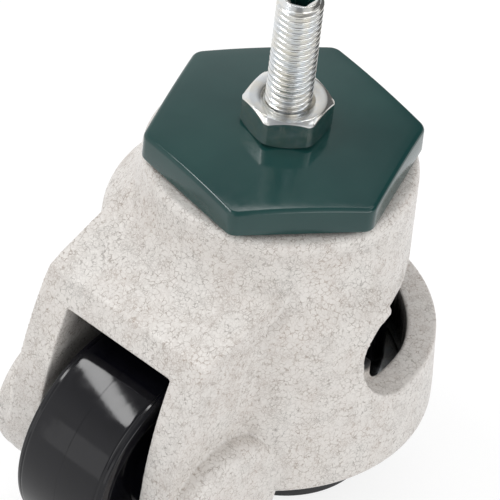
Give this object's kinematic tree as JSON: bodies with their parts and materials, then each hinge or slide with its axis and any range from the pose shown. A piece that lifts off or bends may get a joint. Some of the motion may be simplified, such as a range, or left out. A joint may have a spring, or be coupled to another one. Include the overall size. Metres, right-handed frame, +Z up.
{
  "type": "levelling caster",
  "caption": "Swivel caster with a screw-down rubber levelling foot in one cast housing, hung from a threaded stem with a hex plate and lock nut.",
  "frame": {"origin": "on the stem's axis at the upper face of the lock nut, where the machine frame seats", "axes": "+Z up along the stem towards its free end, -X towards the wheel, Y along the wheel's axle"},
  "size_m": [0.0974, 0.0736, 0.1267],
  "materials": {
    "zinc_steel": "bright zinc plate",
    "bearing_steel": "ground",
    "green_paint": "glossy dark green paint on steel",
    "cage_brass": "satin",
    "ivory_casting": "ivory crackle paint on die-cast aluminium",
    "black_nylon": "glossy moulded nylon",
    "pale_nylon": "natural moulded nylon",
    "black_rubber": "matt moulded rubber"
  },
  "bodies": {
    "mount": {"stem": "zinc_steel", "lock_nut": "zinc_steel", "hex_plate": "green_paint", "upper_race": "bearing_steel", "kingpin_washer": "zinc_steel", "kingpin_nut": "zinc_steel"},
    "housing": {"housing": "ivory_casting", "lower_race": "bearing_steel", "swivel_balls": "bearing_steel", "ball_cage": "cage_brass", "dust_seal": "black_rubber", "kingpin_bush": "cage_brass", "side_washers": "zinc_steel", "axle_bolt": "zinc_steel", "axle_nut": "zinc_steel", "thrust_washer": "cage_brass", "retainer_plate": "zinc_steel", "retainer_screws": "zinc_steel"},
    "wheel": {"wheel": "black_nylon", "wheel_bushes": "pale_nylon"},
    "dial": {"dial": "black_nylon", "dial_sleeve": "zinc_steel"},
    "foot": {"foot_screw": "zinc_steel", "foot_disc": "zinc_steel", "foot_pad": "black_rubber"}
  },
  "joints": [
    {"name": "swivel", "type": "hinge", "parent": "mount", "child": "housing", "pos_m": [0, 0, -0.0183], "axis": [0, 0, 1], "continuous": true},
    {"name": "wheel_spin", "type": "hinge", "parent": "housing", "child": "wheel", "pos_m": [-0.0356, 0, -0.0727], "axis": [0, 1, 0], "continuous": true},
    {"name": "dial_turn", "type": "hinge", "parent": "housing", "child": "dial", "pos_m": [0.01, 0, -0.0606], "axis": [0, 0, 1], "range_deg": [-1230, 1640]},
    {"name": "foot_lift", "type": "slide", "parent": "housing", "child": "foot", "axis": [0, 0, 1], "range_m": [-0.008, 0.006]}
  ],
  "couplings": [
    {"joint": "foot_lift", "follows": "dial_turn", "m_per_rad": -0.00027852}
  ]
}
